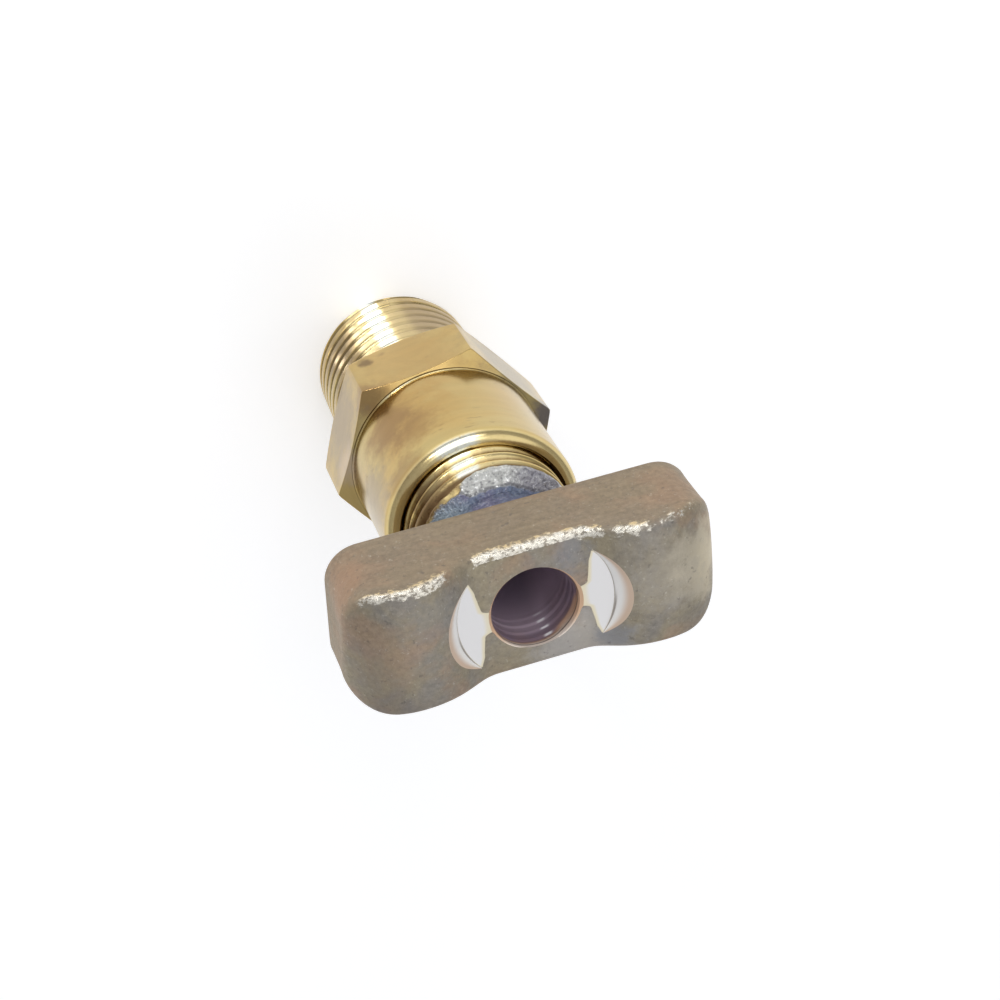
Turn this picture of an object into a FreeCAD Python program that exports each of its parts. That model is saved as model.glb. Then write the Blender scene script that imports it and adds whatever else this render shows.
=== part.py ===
import FreeCAD, Part
import math
import os

# Engine drain plug: a brass body that screws into the engine, and a cast T-handle whose
# threaded stem opens and shuts it. Z runs along the thread axis, from the pipe end at zero
# up to the handle, and X runs along the handle. Lengths are in millimetres.

INCH = 25.4

# Pipe thread of the body, 1/4-18 taper pipe, drawn at its crests
pipe_od = 0.540 * INCH
pipe_end_d = 13.3
pipe_taper = 1 / 16
shank_length = 10.85
shank_chamfer = 0.35

# Spanner hexagon
hex_across_flats = 5 / 8 * INCH
hex_length = 6.35
hex_face_d = 15.6
hex_chamfer_angle = 30.0
hex_turn = 8.0

# Barrel and its mouth
barrel_d = 15.25
barrel_length = 10.87
mouth_round = 0.95
lip_cones = 3

# Water way and washer seat inside the body
inlet_d = 5.2
inlet_wall = 3.0
seat_height = 0.4
seat_width = 0.7
chamber_d = 9.0
chamber_shoulder = 1.2

# Stem thread, 1/2-20, drawn at its crests, and how far the plug stands open
stem_thread_d = 0.5 * INCH
stem_pitch = INCH / 20
stem_thread_length = 12.2
stem_thread_chamfer = 0.7
thread_clearance = 0.05
thread_run_out = 0.6
open_turns = 2.5

# Nose of the stem, washer and screw
nose_d = 6.6
nose_chamfer = 0.3
washer_d = 7.4
washer_thickness = 1.8
washer_hole_clearance = 0.1
face_clearance = 0.05
screw_d = 2.5
screw_head_d = 4.2
screw_head_height = 1.2
screw_hold = 3.2
screw_fit = 0.02
screw_tip_gap = 0.4
screw_slot_width = 0.7
screw_slot_depth = 0.5

# Water way through the stem
passage_d = 3.4
passage_floor = 0.8
side_hole_d = 2.6
outlet_d = 6.5
outlet_depth = 11.0
outlet_chamfer = 0.22
drill_point_angle = 118.0

# Neck between the thread and the handle
neck_length = 2.65
neck_cone = 1.1
neck_d = 10.0
neck_flare = 0.8

# Cast handle: a bar with a low waist and two thick ends, crowned across its width
handle_length = 27.4
handle_width = 10.3
handle_waist_height = 6.67
handle_crown_radius = 20.0
waist_radius = 3.0
ramp_angle = 27.0
lobe_rise = 1.65
lobe_radius = 7.0
lobe_flat = 0.2
end_radius = 5.2
end_skew_angle = 6.0
corner_radius = 2.7
front_edge_radius = 0.6
rear_edge_bevel = 0.35

# Spot-face round the outlet, just deep enough to catch the crown of the waist, and the slope
# that the cutter leaves on its wall, from upright
spot_face_d = 11.5
spot_face_depth = 0.03
spot_face_wall_angle = 30.0

# How far plain cuts run past the metal, and the slack for picking out edges by their place
cut_overshoot = 1.0
edge_slack = 0.05

# Heights along the axis that follow from the sizes above
hex_back_z = shank_length
hex_front_z = hex_back_z + hex_length
mouth_z = hex_front_z + barrel_length
open_lift = open_turns * stem_pitch
seat_z = inlet_wall + seat_height
washer_bottom_z = seat_z + face_clearance + open_lift
washer_top_z = washer_bottom_z + washer_thickness
nose_end_z = washer_top_z + face_clearance
thread_top_z = mouth_z + open_lift
thread_bottom_z = thread_top_z - stem_thread_length
thread_bore_floor_z = thread_bottom_z - open_lift - thread_run_out
handle_back_z = thread_top_z + neck_length
waist_z = handle_back_z + handle_waist_height
lobe_z = waist_z + lobe_rise
spot_face_z = waist_z - spot_face_depth

# Plan of the handle: the askew ends make two corners long and two short
end_skew = handle_width / 2 * math.tan(math.radians(end_skew_angle))
long_x = handle_length / 2 + end_skew
short_x = handle_length / 2 - end_skew

# Front of the handle, from the end back to the waist: end arc, lobe, ramp, waist
ramp_slope = math.radians(ramp_angle)
ramp_rise = lobe_rise - (waist_radius + lobe_radius) * (1 - math.cos(ramp_slope))
ramp_run = ramp_rise / math.tan(ramp_slope)
lobe_x = long_x - end_radius - lobe_flat
waist_x = lobe_x - ramp_run - (waist_radius + lobe_radius) * math.sin(ramp_slope)

UP = FreeCAD.Vector(0, 0, 1)
ALONG_X = FreeCAD.Vector(1, 0, 0)


def at(x, y, z):
    return FreeCAD.Vector(x, y, z)


def turned(points):
    """Solid of revolution about Z from (radius, height) points."""
    corners = [at(r, 0, z) for r, z in points]
    wire = Part.makePolygon(corners + corners[:1])
    return Part.Face(wire).revolve(at(0, 0, 0), UP, 360)


def rod(diameter, low_z, high_z):
    return Part.makeCylinder(diameter / 2, high_z - low_z, at(0, 0, low_z))


def drilled(diameter, floor_z, top_z):
    """Drilled hole with its pointed bottom below floor_z."""
    radius = diameter / 2
    point = radius / math.tan(math.radians(drill_point_angle / 2))
    return turned([(0, floor_z - point), (radius, floor_z), (radius, top_z), (0, top_z)])


def arc_through(start, middle, end):
    return Part.Arc(start, middle, end).toShape()


def shank():
    """Taper thread at its crests: end chamfer, cone, then the full pipe diameter."""
    cone_length = (pipe_od - pipe_end_d) / pipe_taper
    chamfer_d = pipe_end_d + shank_chamfer * pipe_taper
    return turned([
        (0, 0),
        (chamfer_d / 2 - shank_chamfer, 0),
        (chamfer_d / 2, shank_chamfer),
        (pipe_od / 2, cone_length),
        (pipe_od / 2, hex_back_z),
        (0, hex_back_z),
    ])


def hexagon():
    """Hexagonal prism with its corners turned off at both faces."""
    corner_r = hex_across_flats / 2 / math.cos(math.radians(30))
    angles = [math.radians(hex_turn + 60 * i) for i in range(7)]
    corners = [at(corner_r * math.cos(a), corner_r * math.sin(a), hex_back_z) for a in angles]
    prism = Part.Face(Part.makePolygon(corners)).extrude(UP * hex_length)
    face_r = hex_face_d / 2
    drop = (corner_r - face_r) * math.tan(math.radians(hex_chamfer_angle))
    envelope = turned([
        (0, hex_back_z),
        (face_r, hex_back_z),
        (corner_r, hex_back_z + drop),
        (corner_r, hex_front_z - drop),
        (face_r, hex_front_z),
        (0, hex_front_z),
    ])
    return prism.common(envelope)


def barrel():
    """Plain barrel, with short cones that round the lip of its mouth."""
    centre_r = barrel_d / 2 - mouth_round
    centre_z = mouth_z - mouth_round
    steps = [math.radians(90 * i / lip_cones) for i in range(lip_cones + 1)]
    lip = [(centre_r + mouth_round * math.cos(a), centre_z + mouth_round * math.sin(a)) for a in steps]
    return turned([(0, hex_front_z), (barrel_d / 2, hex_front_z)] + lip + [(0, mouth_z)])


def body_water_way():
    """Everything that is bored out of the body, inlet to mouth."""
    bore_r = stem_thread_d / 2 + thread_clearance
    chamber_r = chamber_d / 2
    lip_r = barrel_d / 2 - mouth_round
    seat_r = inlet_d / 2 + seat_width
    return turned([
        (0, 0),
        (inlet_d / 2, 0),
        (inlet_d / 2, seat_z),
        (seat_r, seat_z),
        (seat_r, inlet_wall),
        (chamber_r, inlet_wall),
        (chamber_r, thread_bore_floor_z - chamber_shoulder),
        (bore_r, thread_bore_floor_z),
        (bore_r, mouth_z - (lip_r - bore_r)),
        (lip_r, mouth_z),
        (0, mouth_z),
    ])


def pipe_body():
    return shank().fuse([hexagon(), barrel()]).cut(body_water_way()).removeSplitter()


def saddle_edges():
    """Right half of the handle's front in the XZ plane: waist, ramp, lobe and end arc.

    Two arcs, joined by a straight ramp, carry the low waist up to the lobe.
    """

    def on_waist_arc(angle):
        x = waist_x + waist_radius * math.sin(angle)
        return at(x, 0, waist_z + waist_radius * (1 - math.cos(angle)))

    def on_lobe_arc(angle):
        x = lobe_x - lobe_radius * math.sin(angle)
        return at(x, 0, lobe_z - lobe_radius * (1 - math.cos(angle)))

    end_start = at(long_x - end_radius, 0, lobe_z)
    inset = end_radius * (1 - math.sqrt(0.5))
    end_middle = at(long_x - inset, 0, lobe_z - inset)
    end_finish = at(long_x, 0, lobe_z - end_radius)
    return [
        Part.makeLine(at(0, 0, waist_z), on_waist_arc(0)),
        arc_through(on_waist_arc(0), on_waist_arc(ramp_slope / 2), on_waist_arc(ramp_slope)),
        Part.makeLine(on_waist_arc(ramp_slope), on_lobe_arc(ramp_slope)),
        arc_through(on_lobe_arc(ramp_slope), on_lobe_arc(ramp_slope / 2), on_lobe_arc(0)),
        Part.makeLine(on_lobe_arc(0), end_start),
        arc_through(end_start, end_middle, end_finish),
    ]


def bar_blank():
    """Bar seen from the front: straight sides, rounded corners and ends a little askew."""
    half_width = handle_width / 2
    plan = Part.makePolygon([
        at(long_x, half_width, handle_back_z),
        at(-short_x, half_width, handle_back_z),
        at(-long_x, -half_width, handle_back_z),
        at(short_x, -half_width, handle_back_z),
        at(long_x, half_width, handle_back_z),
    ])
    blank = Part.Face(plan).extrude(UP * (lobe_z - handle_back_z))
    uprights = [e for e in blank.Edges if e.BoundBox.ZLength > corner_radius]
    return blank.makeFillet(corner_radius, uprights)


def crowned_bar():
    """The saddle turned about a line far below the handle, which crowns it across its width."""
    axis_z = waist_z - handle_crown_radius
    half = saddle_edges()
    closing = Part.makePolygon([
        at(long_x, 0, lobe_z - end_radius),
        at(long_x, 0, axis_z),
        at(0, 0, axis_z),
        at(0, 0, waist_z),
    ])
    side = Part.Face(Part.Wire(half + closing.Edges))
    crown = side.revolve(at(0, 0, axis_z), ALONG_X, 360)
    crown = crown.fuse(crown.mirror(at(0, 0, 0), ALONG_X)).removeSplitter()
    return bar_blank().common(crown).removeSplitter()


def handle_bar():
    """Crowned bar with its cast edges eased: a narrow bevel behind, rounded in front."""
    bar = crowned_bar()
    rear = [e for e in bar.Edges if e.BoundBox.ZMax < handle_back_z + edge_slack]
    bar = bar.makeChamfer(rear_edge_bevel, rear)
    front_low_z = handle_back_z + 2 * rear_edge_bevel
    upper = [e for e in bar.Edges if e.BoundBox.ZMin > front_low_z]
    front = [e for e in upper if e.BoundBox.XLength > edge_slack]
    return bar.makeFillet(front_edge_radius, front)


def stem():
    """Turned stem: nose, thread at its crests, and the rough neck under the handle."""
    nose_r = nose_d / 2
    thread_r = stem_thread_d / 2
    neck_r = neck_d / 2
    return turned([
        (0, nose_end_z),
        (nose_r - nose_chamfer, nose_end_z),
        (nose_r, nose_end_z + nose_chamfer),
        (nose_r, thread_bottom_z),
        (thread_r - stem_thread_chamfer, thread_bottom_z),
        (thread_r, thread_bottom_z + stem_thread_chamfer),
        (thread_r, thread_top_z),
        (neck_r, thread_top_z + neck_cone),
        (neck_r, handle_back_z + rear_edge_bevel),
        (0, handle_back_z + rear_edge_bevel),
    ])


def flare():
    """Sloped foot from the neck to the back of the handle, no wider than the handle."""
    inner = neck_d / 2
    outer = inner + neck_flare
    middle = neck_flare * (1 - math.sqrt(0.5))
    top_z = handle_back_z + rear_edge_bevel
    ring = turned([
        (0, handle_back_z - neck_flare),
        (inner, handle_back_z - neck_flare),
        (inner + middle, handle_back_z - middle),
        (outer, handle_back_z),
        (outer, top_z),
        (0, top_z),
    ])
    flat_width = handle_width - 2 * rear_edge_bevel
    limit = Part.makeBox(
        2 * outer, flat_width, top_z - handle_back_z + neck_flare,
        at(-outer, -flat_width / 2, handle_back_z - neck_flare))
    return ring.common(limit)


def stem_water_way():
    """Screw hole, narrow passage with its side holes, and the wide outlet."""
    screw_hole = rod(screw_d + 2 * screw_fit, nose_end_z, nose_end_z + screw_hold + screw_tip_gap)
    passage_z = nose_end_z + screw_hold + screw_tip_gap + passage_floor + passage_d / 3
    passage = drilled(passage_d, passage_z, spot_face_z)
    side_z = passage_z + side_hole_d / 2
    side_x = nose_d / 2 + cut_overshoot
    side_holes = Part.makeCylinder(side_hole_d / 2, 2 * side_x, at(-side_x, 0, side_z), ALONG_X)
    outlet = drilled(outlet_d, spot_face_z - outlet_depth, lobe_z)
    rim_r = outlet_d / 2
    rim = turned([
        (0, spot_face_z - outlet_chamfer),
        (rim_r, spot_face_z - outlet_chamfer),
        (rim_r + 2 * outlet_chamfer, spot_face_z + outlet_chamfer),
        (0, spot_face_z + outlet_chamfer),
    ])
    return [screw_hole, passage, side_holes, outlet, rim]


def spot_face():
    """Flat-bottomed cut with a sloped wall."""
    foot_r = spot_face_d / 2
    top_z = lobe_z + cut_overshoot
    spread = (top_z - spot_face_z) * math.tan(math.radians(spot_face_wall_angle))
    return turned([(0, spot_face_z), (foot_r, spot_face_z), (foot_r + spread, top_z), (0, top_z)])


def t_handle():
    casting = handle_bar().fuse([stem(), flare()])
    return casting.cut([spot_face()] + stem_water_way()).removeSplitter()


def seat_washer():
    ring = rod(washer_d, washer_bottom_z, washer_top_z)
    return ring.cut(rod(screw_d + 2 * washer_hole_clearance, washer_bottom_z, washer_top_z))


def washer_screw():
    """Cheese-head screw, head down, with its slot across the head."""
    head_top = washer_bottom_z - face_clearance
    head_bottom = head_top - screw_head_height
    screw = rod(screw_head_d, head_bottom, head_top)
    screw = screw.fuse(rod(screw_d, head_top, nose_end_z + screw_hold))
    slot_x = screw_head_d / 2 + cut_overshoot
    slot = Part.makeBox(
        2 * slot_x, screw_slot_width, screw_slot_depth,
        at(-slot_x, -screw_slot_width / 2, head_bottom))
    return screw.cut(slot).removeSplitter()


def main():
    os.makedirs("parts", exist_ok=True)
    makers = [pipe_body, t_handle, seat_washer, washer_screw]
    for maker in makers:
        shape = maker()
        name = maker.__name__
        solids = len(shape.Solids)
        print(name, "solids", solids, "faces", len(shape.Faces), "valid", shape.isValid(),
              "volume", round(shape.Volume, 2), shape.BoundBox)
        shape.exportStep("parts/" + name + ".step")


main()
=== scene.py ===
from functools import partial
from math import cos, pi, radians, sin, sqrt, tan

import bpy
import numpy as np
from mathutils import Matrix, Vector


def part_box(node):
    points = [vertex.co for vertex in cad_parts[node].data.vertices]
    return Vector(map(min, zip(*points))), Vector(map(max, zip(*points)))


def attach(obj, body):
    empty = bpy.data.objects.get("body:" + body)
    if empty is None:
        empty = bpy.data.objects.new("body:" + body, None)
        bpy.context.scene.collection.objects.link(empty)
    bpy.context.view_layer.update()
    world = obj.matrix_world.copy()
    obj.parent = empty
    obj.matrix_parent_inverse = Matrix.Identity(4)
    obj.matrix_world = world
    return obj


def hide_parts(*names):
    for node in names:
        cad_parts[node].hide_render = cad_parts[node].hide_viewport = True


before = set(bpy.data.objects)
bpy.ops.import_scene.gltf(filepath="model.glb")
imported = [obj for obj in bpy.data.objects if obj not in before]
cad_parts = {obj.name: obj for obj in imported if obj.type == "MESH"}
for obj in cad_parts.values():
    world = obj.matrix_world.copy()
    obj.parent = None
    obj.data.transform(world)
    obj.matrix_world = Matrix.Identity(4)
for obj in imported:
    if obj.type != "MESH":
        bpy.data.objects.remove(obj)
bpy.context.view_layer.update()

mm = 0.001
inch = 25.4
turn = 2 * pi
weldStep = 2e-5
sharpAngle = radians(34)
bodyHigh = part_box("pipe_body")[1][2] / mm
handleLow, handleHigh = (corner[2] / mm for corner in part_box("t_handle"))
print("frame loaded, body", round(bodyHigh, 2), "mm high, handle up to", round(handleHigh, 2))

# Sizes are in millimetres from here to the mesh, and "rows" and "columns" count the grid of a surface.


# Evenly spaced numbers, one for each row of a grid.
def steps(count, low=0, high=1):
    return np.linspace(low, high, count)[:, None]


# Soft step from 0 at "low" to 1 at "high": three t squared less two t cubed.
def softStep(value, low, high):
    t = np.clip((value - low) / (high - low), 0, 1)
    return t * t * (3 - 2 * t)


# 1 at the middle angle in degrees, and 0 from "half" degrees away.
def aroundAngle(angles, middle, half):
    away = np.abs((np.degrees(angles) - middle + 180) % 360 - 180)
    return 1 - softStep(away, half * 0.3, half)


# Quadratic curve: (1 - t) squared times start, twice t (1 - t) times corner, t squared times end.
def quadratic(t, start, corner, end):
    return (1 - t) ** 2 * start + 2 * t * (1 - t) * corner + t ** 2 * end


# Points: radius times cosine and sine of the angle, and the height.
def ringPoints(radius, angles, height):
    radius, angles, height = np.broadcast_arrays(radius, angles, height)
    return np.stack([radius * np.cos(angles), radius * np.sin(angles), height], axis=-1)


# Faces of a grid that closes round its columns. The last column joins the first one "climb" rows
# further up, so that a thread rises by one pitch in a turn.
def gridFaces(rows, columns, climb):
    row, column = np.arange(rows - 1)[:, None], np.arange(columns)[None, :]
    rise = np.where(column + 1 == columns, climb, 0)
    here, beside = row * columns + column, (row + rise) * columns + (column + 1) % columns
    return np.stack([here, beside, beside + columns, here + columns], axis=-1)[row + 1 + rise < rows]


# Turned profile with eased corners: each inner corner becomes a quadratic curve from "reach" before it
# to "reach" after it, with a row just outside that keeps the shading flat beyond.
def easedProfile(corners, reaches):
    corners = [np.stack(np.broadcast_arrays(*corner), axis=-1).astype(float) for corner in corners]
    rows = [corners[0]]
    for before, corner, after, reach in zip(corners, corners[1:], corners[2:], reaches):
        if reach == 0:
            rows.append(corner)
            continue
        back = (before - corner) / np.linalg.norm(before - corner, axis=-1, keepdims=True)
        ahead = (after - corner) / np.linalg.norm(after - corner, axis=-1, keepdims=True)
        start, end = corner + reach * back, corner + reach * ahead
        rows.append(start + 0.4 * reach * back)
        rows += [quadratic(t, start, corner, end) for t in np.linspace(0, 1, 5)]
        rows.append(end + 0.4 * reach * ahead)
    rows.append(corners[-1])
    return np.stack(np.broadcast_arrays(*rows))


# A sheet of the mesh: points, material's number, and marks for the material to read.
def sheet(grid, slot, climb=0, **marks):
    return {"grid": grid, "slot": slot, "climb": climb, "marks": marks}


# A turned grid from rows of (radius, height), the same all round or given for every column.
def turnedGrid(profile, angles):
    if profile.ndim == 2:
        profile = profile[:, None, :]
    return ringPoints(profile[..., 0], angles, profile[..., 1])


# Depth in a thread's groove: 0 on the crest, 1 on the root and an S-curve between.
def grooveAt(heights, share, thread):
    phase = (heights - thread["phaseZ"]) / thread["pitch"] - share
    fromCrest = np.abs(2 * (phase - np.floor(phase)) - 1)
    return softStep(fromCrest, thread["crestFlat"], 1 - thread["rootFlat"])


# Screw thread: heights are row times pitch over rows-per-turn plus the angle's share of a pitch, held
# between the ends. Its marks are the depth in the groove and how strongly a painted highlight lies on it.
def threadSheet(slot, angles, low, high, thread, radiusAt, inward=False):
    rise = thread["pitch"] / thread["rowsPerTurn"]
    start = thread["phaseZ"] + rise * np.floor((low - thread["pitch"] - rise - thread["phaseZ"]) / rise)
    rows = int(np.ceil((high - start) / rise)) + 2
    share = angles[None, :] / turn
    heights = np.clip(start + rise * np.arange(rows)[:, None] + thread["pitch"] * share, low, high)
    grid = ringPoints(radiusAt(heights, share), angles, heights)
    groove = grooveAt(heights, share, thread)
    if inward:
        return sheet(grid[::-1], slot, -thread["rowsPerTurn"], groove=groove[::-1])
    # Painted highlight patches round the thread, fainter in the grooves
    patches = [most * aroundAngle(angles, middle, half) for middle, half, most in thread["rubbed"]]
    rubbed = np.max(patches, axis=0) * (1 - thread["rubbedOnCrest"] * softStep(groove, 0.2, 0.9))
    return sheet(grid, slot, thread["rowsPerTurn"], groove=groove, rubbed=rubbed)


# Rough skin: a seeded sum of plane waves, from 0 down to minus one.
def castWaves(points, size, seed):
    dice = np.random.default_rng(seed)
    waves = 14
    directions = dice.normal(size=(waves, 3))
    directions /= np.linalg.norm(directions, axis=1, keepdims=True)
    lengths = size * dice.uniform(0.6, 1.7, waves)
    offsets = dice.uniform(0, turn, waves)
    total = np.sin(points @ (directions * (turn / lengths)[:, None]).T + offsets).sum(axis=-1)
    return np.clip(total / (2.2 * sqrt(waves)) - 0.5, -1, 0)


# The grid sunk towards the axis by those waves, as far as "hold" lets them.
def rough(grid, size, depth, seed, hold):
    outward = grid * (1, 1, 0)
    outward /= np.maximum(np.linalg.norm(outward, axis=-1, keepdims=True), 1e-6)
    return grid + outward * (depth * castWaves(grid, size, seed) * hold)[..., None]


def addToScene(name, data):
    made = bpy.data.objects.new(name, data)
    bpy.context.scene.collection.objects.link(made)
    return made


def smoothShade(mesh):
    mesh.shade_smooth()
    mesh.set_sharp_from_angle(angle=sharpAngle)


# One mesh from many sheets. Points that meet are welded and keep the first sheet's marks, and faces
# that closed up at poles and thread ends lose their spare corner or go.
def buildPiece(name, sheets, materials, markNames):
    points, faces, slots, first = [], [], [], 0
    marks = {label: [] for label in markNames}
    for part in sheets:
        rows, columns = part["grid"].shape[:2]
        points.append(part["grid"].reshape(-1, 3))
        faces.append(gridFaces(rows, columns, part["climb"]) + first)
        slots.append(np.full(len(faces[-1]), part["slot"]))
        for label in markNames:
            marks[label].append(np.broadcast_to(part["marks"].get(label, 0), (rows, columns)).reshape(-1))
        first += rows * columns
    points, faces, slots = np.concatenate(points), np.concatenate(faces), np.concatenate(slots)
    keys = np.round(points / weldStep).astype(np.int64)
    keep, welded = np.unique(keys, axis=0, return_index=True, return_inverse=True)[1:]
    faces = welded.reshape(-1)[faces]
    doubled = faces == np.roll(faces, -1, axis=1)
    count = doubled.sum(axis=1)
    quads, triangles = faces[count == 0], faces[count == 1][~doubled[count == 1]].reshape(-1, 3)
    mesh = bpy.data.meshes.new(name)
    mesh.from_pydata((points[keep] * mm).tolist(), [], quads.tolist() + triangles.tolist())
    for material in materials:
        mesh.materials.append(material)
    mesh.polygons.foreach_set("material_index", np.concatenate([slots[count == 0], slots[count == 1]]))
    for label in markNames:
        layer = mesh.attributes.new(label, "FLOAT", "POINT")
        layer.data.foreach_set("value", np.concatenate(marks[label])[keep].astype(np.float32))
    smoothShade(mesh)
    mesh.update()
    print(name, "has", 2 * len(quads) + len(triangles), "triangles")
    return addToScene(name, mesh)


# Shader helpers. An input is a number, a colour or a socket, and a new node joins its sockets' tree.
def feed(socket, value):
    if isinstance(value, bpy.types.NodeSocket):
        socket.id_data.links.new(value, socket)
    else:
        socket.default_value = (*value, 1) if socket.type == "RGBA" else value


def addNode(tree, kind, inputs=None, **settings):
    made = tree.nodes.new("ShaderNode" + kind)
    for name, value in settings.items():
        setattr(made, name, value)
    for name, value in (inputs or {}).items():
        feed(made.inputs[name], value)
    return made


def treeOf(*values):
    return next(value.id_data for value in values if isinstance(value, bpy.types.NodeSocket))


def calc(operation, *values):
    return addNode(treeOf(*values), "Math", dict(enumerate(values)), operation=operation).outputs[0]


times, plus, minus = (partial(calc, operation) for operation in ("MULTIPLY", "ADD", "SUBTRACT"))


# Noise round zero: its distance from a half, times the amount.
def swing(value, amount):
    return times(minus(value, 0.5), amount)


def band(value, low, high, outLow=0.0, outHigh=1.0):
    inputs = dict(enumerate((value, low, high, outLow, outHigh)))
    return addNode(value.id_data, "MapRange", inputs, interpolation_type="SMOOTHSTEP").outputs[0]


# Full from "lowEnd" to "high", with a soft step up before and one down after.
def window(value, low, lowEnd, high, highEnd):
    return times(band(value, low, lowEnd), band(value, high, highEnd, 1.0, 0.0))


def blend(share, first, second, kind="MIX"):
    tree, inputs = treeOf(share, first, second), {0: share, 6: first, 7: second}
    return addNode(tree, "Mix", inputs, data_type="RGBA", blend_type=kind).outputs[2]


# The colour with others of the look laid over it in turn, each through its mask.
def layers(colour, look, **masks):
    for name, mask in masks.items():
        colour = blend(mask, colour, look[name])
    return colour


# The colour times a factor.
def shadeBy(colour, factor):
    grey = addNode(factor.id_data, "CombineColor", {0: factor, 1: factor, 2: factor}).outputs[0]
    return blend(1.0, colour, grey, "MULTIPLY")


# Object coordinates in millimetres, times a factor on each axis.
def placeOn(tree, stretch=(1, 1, 1)):
    inputs = {"Vector": addNode(tree, "TexCoord").outputs["Object"], "Scale": [s / mm for s in stretch]}
    return addNode(tree, "Mapping", inputs).outputs[0]


def axesOf(tree):
    return addNode(tree, "SeparateXYZ", {0: placeOn(tree)}).outputs


def noise(vector, scale, detail=3.0, roughness=0.55, distortion=0.0):
    inputs = dict(Vector=vector, Scale=scale, Detail=detail, Roughness=roughness, Distortion=distortion)
    return addNode(vector.id_data, "TexNoise", inputs).outputs["Fac"]


def markOf(tree, label):
    return addNode(tree, "Attribute", attribute_name=label).outputs["Fac"]


def newGroup(name, outputs, **inputs):
    group = bpy.data.node_groups.new(name, "ShaderNodeTree")
    newSocket = partial(group.interface.new_socket, socket_type="NodeSocketFloat")
    for label, value in inputs.items():
        newSocket(label, in_out="INPUT").default_value = value
    for label in outputs:
        newSocket(label, in_out="OUTPUT")
    return group, group.nodes.new("NodeGroupInput").outputs, group.nodes.new("NodeGroupOutput").inputs


def useGroup(tree, group, **inputs):
    return addNode(tree, "Group", inputs, node_tree=group).outputs


# Tool rings: noise read along axis and radius only. Dashes are short dark scratches round the axis.
def makeTurningRings():
    group, given, result = newGroup("turningRings", ["Height", "Streak", "Dashes"], Scale=6.0, Waver=0.3)
    x, y, z = axesOf(group)
    radius = calc("SQRT", plus(times(x, x), times(y, y)))
    along = plus(z, times(noise(placeOn(group), 0.25, 2.0), given["Waver"]))
    line = addNode(group, "CombineXYZ", {0: along, 1: times(radius, 2.3)}).outputs[0]
    broad = noise(line, times(given["Scale"], 0.22), 2.0, 0.6)
    angle = times(calc("ARCTAN2", y, x), 9.0)
    scratch = addNode(group, "CombineXYZ", {0: angle, 1: times(z, 3.5), 2: radius}).outputs[0]
    sparse = band(noise(placeOn(group), 0.35, 2.0), 0.5, 0.62)
    feed(result["Height"], noise(line, given["Scale"], 4.0, 0.7))
    feed(result["Streak"], band(broad, 0.35, 0.65))
    feed(result["Dashes"], times(band(noise(scratch, 1.1, 2.0, 0.5), 0.62, 0.7), sparse))
    return group


# Dulled patches: large soft islands broken up by small ones.
def makeTarnish():
    group, given, result = newGroup("tarnish", ["Mask", "Fine"], Size=4.0, Spread=0.5, Softness=0.12)
    place = placeOn(group)
    broad = noise(place, calc("DIVIDE", 1.0, given["Size"]), 5.0, 0.6, 0.5)
    middle = minus(1.0, given["Spread"])
    feed(result["Mask"], band(broad, minus(middle, given["Softness"]), plus(middle, given["Softness"])))
    feed(result["Fine"], noise(place, calc("DIVIDE", 9.0, given["Size"]), 4.0, 0.65))
    return group


# Sand-cast skin, with masks of the deepest pits and the highest grains.
def makeCastSkin():
    group, given, result = newGroup("castSkin", ["Height", "Pits", "Specks"], Grain=1.0)
    place, grain = placeOn(group), given["Grain"]
    cells = addNode(group, "TexVoronoi", {"Vector": place, "Scale": times(grain, 1.7)}).outputs["Distance"]
    grit = noise(place, times(grain, 3.4), 5.0, 0.7)
    broad = noise(place, times(grain, 0.7), 3.0)
    feed(result["Height"], plus(times(cells, 0.35), plus(grit, broad)))
    feed(result["Pits"], band(noise(place, times(grain, 2.1), 3.0), 0.62, 0.72))
    feed(result["Specks"], band(grit, 0.6, 0.68))
    return group


# Patch for stains and for painted light and shade: a soft ball round a point, with its edge broken by
# noise.
def makeStain():
    group, given, result = newGroup("stain", ["Mask"], X=0.0, Y=0.0, Z=0.0, Reach=3.0, Ragged=0.5)
    place = placeOn(group)
    middle = addNode(group, "CombineXYZ", {axis: given[axis] for axis in "XYZ"}).outputs[0]
    away = addNode(group, "VectorMath", {0: place, 1: middle}, operation="DISTANCE").outputs["Value"]
    blot = swing(noise(place, 0.55, 6.0, 0.7), times(given["Ragged"], 1.6))
    feed(result["Mask"], band(plus(calc("DIVIDE", away, given["Reach"]), blot), 0.3, 1.0, 1.0, 0.0))
    return group


turningRings, tarnish, castSkin, stain = makeTurningRings(), makeTarnish(), makeCastSkin(), makeStain()


# A material to be filled in, with its tree and shader.
def startMaterial(name, metallic):
    material = bpy.data.materials.new(name)
    material.use_nodes = True
    shader = material.node_tree.nodes["Principled BSDF"]
    shader.inputs["Metallic"].default_value = metallic
    return material, material.node_tree, shader


def finishMaterial(shader, colour, roughness, height, strength, distance):
    inputs = {"Height": height, "Strength": strength, "Distance": distance * mm}
    normal = addNode(shader.id_data, "Bump", inputs).outputs[0]
    for label, value in (("Base Color", colour), ("Roughness", roughness), ("Normal", normal)):
        feed(shader.inputs[label], value)


def addStain(colour, matt, place, reach, strength, stainColour, ragged=0.8, roughening=0):
    at = dict(zip("XYZ", place))
    mask = useGroup(colour.id_data, stain, Reach=reach, Ragged=ragged, **at)["Mask"]
    if roughening:
        matt = calc("MULTIPLY_ADD", mask, roughening, matt)
    return blend(times(mask, strength), colour, stainColour), matt


# The colour under its patches of stain and of painted light and shade, and how much rougher they leave
# the metal. A row has place, reach, strength and colour, and raggedness and roughness where they matter.
def addStains(colour, stains):
    matt = 0.0
    for row in stains:
        colour, matt = addStain(colour, matt, *row)
    return colour, matt


# Brass colours: the yellow and bright ones paint highlights, the darkest one paints shade and grime in
# grooves
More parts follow.
